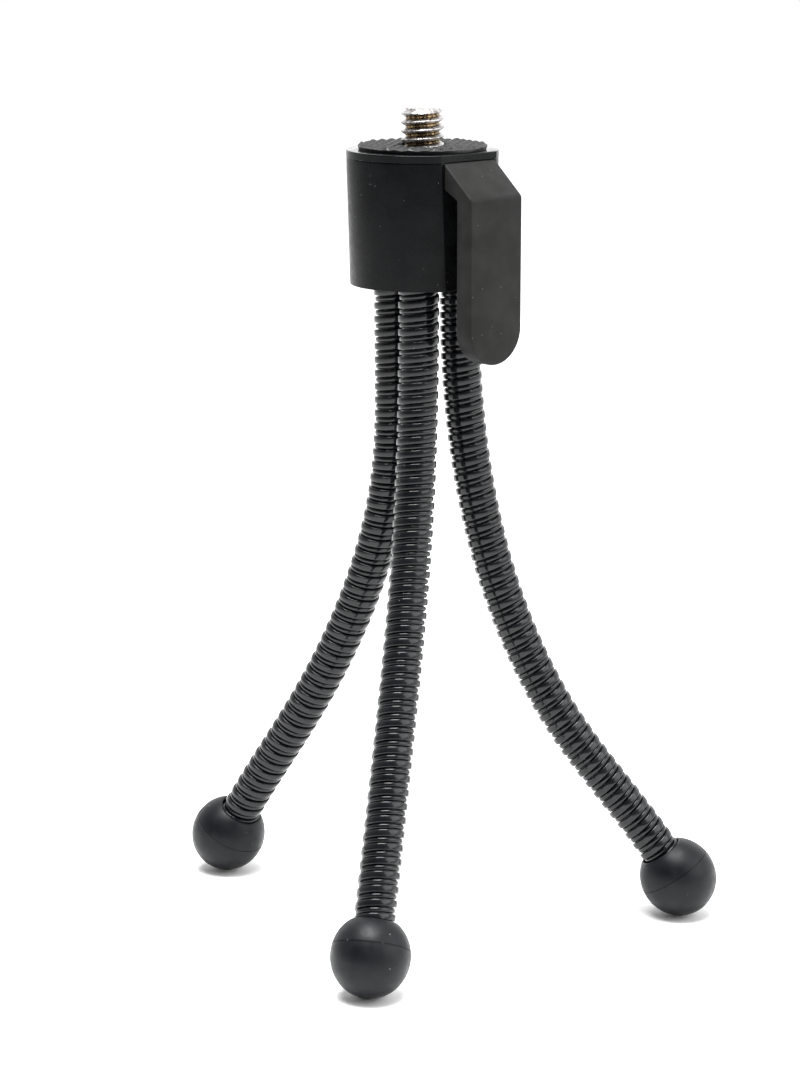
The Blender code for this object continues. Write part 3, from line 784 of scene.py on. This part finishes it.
def make_hose_piece(leg, tree, outline, label, first_turn, last_turn, bend, nodes):
    """A run of whole turns along the stretch of the leg round one bend."""
    start, stop = first_turn * HOSE_PITCH, last_turn * HOSE_PITCH
    steps = round((last_turn - first_turn) * POINTS_PER_TURN)
    stations = [start + (stop - start) * i / 120 for i in range(121)]
    obj = poly_curve(f"hose_{leg.name}_{label}", [leg.at(s) for s in stations])
    modifier = obj.modifiers.new("winding", "NODES")
    modifier.node_group = tree
    set_inputs(modifier, {"Outline": outline, "Material": HOSE_PAINT, "Across": tuple(leg.across),
                          "Steps": steps + 1, "Points per Turn": POINTS_PER_TURN,
                          "First Turn": float(first_turn)})
    graph = bpy.context.evaluated_depsgraph_get()
    mesh = bpy.data.meshes.new_from_object(obj.evaluated_get(graph), depsgraph=graph)
    name = obj.name
    bpy.data.objects.remove(obj, do_unlink=True)
    bm = bmesh.new()
    bm.from_mesh(mesh)
    hose = mesh_object(name, bm)
    finish_piece(hose, HOSE_PAINT, None, nodes, 50)
    centre, reach = leg.at(bend), BEND_REACH * leg.direction(bend)
    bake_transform(hose)
    return hose


def ball_profile():
    """Half the ball's outline as (along, out), from the mouth to the pole, with a seam round the middle."""
    radius, half_length = BALL_R - BALL_INSET, BALL_HALF_LENGTH - BALL_INSET
    mouth = math.asin((HOSE_R + 0.28 * MM) / radius)
    steps = 54
    angles = [mouth + (math.pi - mouth) * i / steps for i in range(1, steps)]
    seam = math.pi / 2 + SEAM_OFFSET / half_length
    angles = [a for a in angles if abs(a - seam) > 0.03]
    outline = [(a, 0.0) for a in angles] + [(seam + offset, depth) for offset, depth in SEAM_SECTION]
    return [(-half_length * math.cos(a), radius * math.sin(a) - depth) for a, depth in sorted(outline)]


def make_ball(leg):
    """The rubber ball: its mouth grips the hose, and a fine seam runs round its middle."""
    sides, centre = 96, leg.length
    mouth_r = HOSE_R + 0.18 * MM
    profile = ball_profile()
    first_along = profile[0][0]
    rings = [
        leg.ring(centre - BALL_HOLE_END, 0, sides, centre),
        leg.ring(centre - BALL_HOLE_END, mouth_r, sides, centre),
        leg.ring(centre + first_along - 0.02 * MM, mouth_r, sides, centre),
    ]
    rings += [leg.ring(centre + along, out, sides, centre) for along, out in profile]
    rings.append(leg.ring(centre + BALL_HALF_LENGTH - BALL_INSET, 0, sides, centre))
    ball = mesh_object(f"ball_{leg.name}", loft(rings))
    body, node = f"leg_{leg.name}_lower", f"ball_foot_{leg.name}"
    return finish_piece(ball, BALL_RUBBER, body, [node])


def make_leg(name, tree, outline):
    leg = Leg(name)
    end_turn = (leg.length - HOSE_INTO_BALL) / HOSE_PITCH
    upper, middle, lower = (f"leg_{name}_{part}" for part in ("upper", "middle", "lower"))
    runs = [
        ("upper_run", -2, 10, ("head", upper), FIRST_BEND, [f"hose_{name}_root"]),
        ("middle_run", 10, 25, (upper, middle), SECOND_BEND, [f"hose_{name}_upper"]),
        ("lower_run", 25, end_turn, (middle, lower), THIRD_BEND,
         [f"hose_{name}_middle", f"hose_{name}_lower"]),
    ]
    for label, first, last, bodies, bend, nodes in runs:
        make_hose_piece(leg, tree, outline, label, first, last, bend, nodes)
    make_ball(leg)


# ---------------------------------------------------------------- pieces kept from the frame
def finish_kept_nodes():
    """Gives each piece that stays as it is a finish for its own stuff."""
    finishes = {"plated_steel": PLATED_STEEL, "core_wire": SOFT_WIRE, "nylon": WASHER_NYLON,
                "moulded_black": HOUSING_PLASTIC, "black_rubber": PAD_RUBBER, "lever_black": LEVER_PLASTIC,
                "hose_steel": HOSE_PAINT}
    for entry in frame["record"]["subparts"]:
        obj = NODES[entry["node"]]
        material = finishes[entry["material_slot"]]
        for slot in obj.material_slots:
            slot.material = material
        if not obj.material_slots:
            obj.data.materials.append(material)


# ---------------------------------------------------------------- floor, light and camera
FLOOR_HALF = 8.0
LIGHT_TARGET = Vector((0, 0, 0.06))
LENS = 103.52
CAMERA_SIDEWAYS = 3.283 * MM
CAMERA_BACK = 460.4 * MM
CAMERA_HEIGHT = 159.76 * MM
CAMERA_DIP = 12.502
# name: (place, width and depth, power)
SOFTBOXES = {
    "top_softbox": ((-0.05, -0.1, 0.8), (0.5, 0.4), 14),
    "right_softbox": ((0.9, -0.4, 0.6), (1.0, 0.8), 7),
}


def make_floor():
    finish = Finish("floor_white", (0.95, 0.95, 0.95), 0.6, shine=0.2)
    finish.colour(finish.mix(finish.noise(60 * MM, 2), (0.94, 0.94, 0.94), (0.96, 0.96, 0.96)))
    bm = bmesh.new()
    corners = ((-1, -1), (1, -1), (1, 1), (-1, 1))
    bm.faces.new([bm.verts.new((x * FLOOR_HALF, y * FLOOR_HALF, 0)) for x, y in corners])
    floor = mesh_object("floor", bm)
    floor.data.materials.append(finish.material)


def area_light(name, place, size, power):
    data = bpy.data.lights.new(name, "AREA")
    data.shape = "RECTANGLE"
    data.size, data.size_y = size
    data.energy = power
    light = bpy.data.objects.new(name, data)
    light.location = place
    light.rotation_euler = (LIGHT_TARGET - Vector(place)).to_track_quat("-Z", "Y").to_euler()
    bpy.context.scene.collection.objects.link(light)


def make_world():
    """A studio that is dark behind the camera and bright behind the tripod."""
    world = bpy.data.worlds.new("studio")
    world.use_nodes = True
    nodes, links = world.node_tree.nodes, world.node_tree.links
    split = nodes.new("ShaderNodeSeparateXYZ")
    links.new(nodes.new("ShaderNodeTexCoord").outputs["Generated"], split.inputs["Vector"])
    ramp = nodes.new("ShaderNodeMapRange")
    for name, number in (("From Min", -0.9), ("From Max", 0.9), ("To Min", 0.05), ("To Max", 1.85)):
        ramp.inputs[name].default_value = number
    sideways = nodes.new("ShaderNodeMath")
    sideways.operation = "MULTIPLY_ADD"
    links.new(split.outputs["X"], sideways.inputs[0])
    sideways.inputs[1].default_value = 0.5
    links.new(split.outputs["Y"], sideways.inputs[2])
    links.new(sideways.outputs["Value"], ramp.inputs["Value"])
    links.new(ramp.outputs["Result"], nodes["Background"].inputs["Strength"])
    nodes["Background"].inputs["Color"].default_value = (1, 1, 1, 1)
    bpy.context.scene.world = world


def make_lights():
    for name, values in SOFTBOXES.items():
        area_light(name, *values)


def make_camera():
    """A long lens, a little above the head, looking slightly down."""
    data = bpy.data.cameras.new("camera")
    data.sensor_width = 36
    data.lens = LENS
    data.clip_start = 0.01
    camera = bpy.data.objects.new("camera", data)
    camera.location = (AXIS.x - CAMERA_SIDEWAYS, AXIS.y - CAMERA_BACK, CAMERA_HEIGHT)
    camera.rotation_euler = (math.radians(90 - CAMERA_DIP), 0, 0)
    bpy.context.scene.collection.objects.link(camera)
    bpy.context.scene.camera = camera


def main():
    make_camera()
    make_world()
    make_lights()
    make_floor()
    bpy.context.scene.view_settings.view_transform = "Standard"
    finish_kept_nodes()
    make_housing()
    make_cap()
    make_pad()
    make_screw()
    make_lever()
    tree = strip_tree()
    outline = poly_curve("strip_outline", [(x - GROOVE_R, y, 0) for x, y in strip_outline()], cyclic=True)
    for name in LEG_NAMES:
        make_leg(name, tree, outline)
    bpy.data.objects.remove(outline, do_unlink=True)


main()
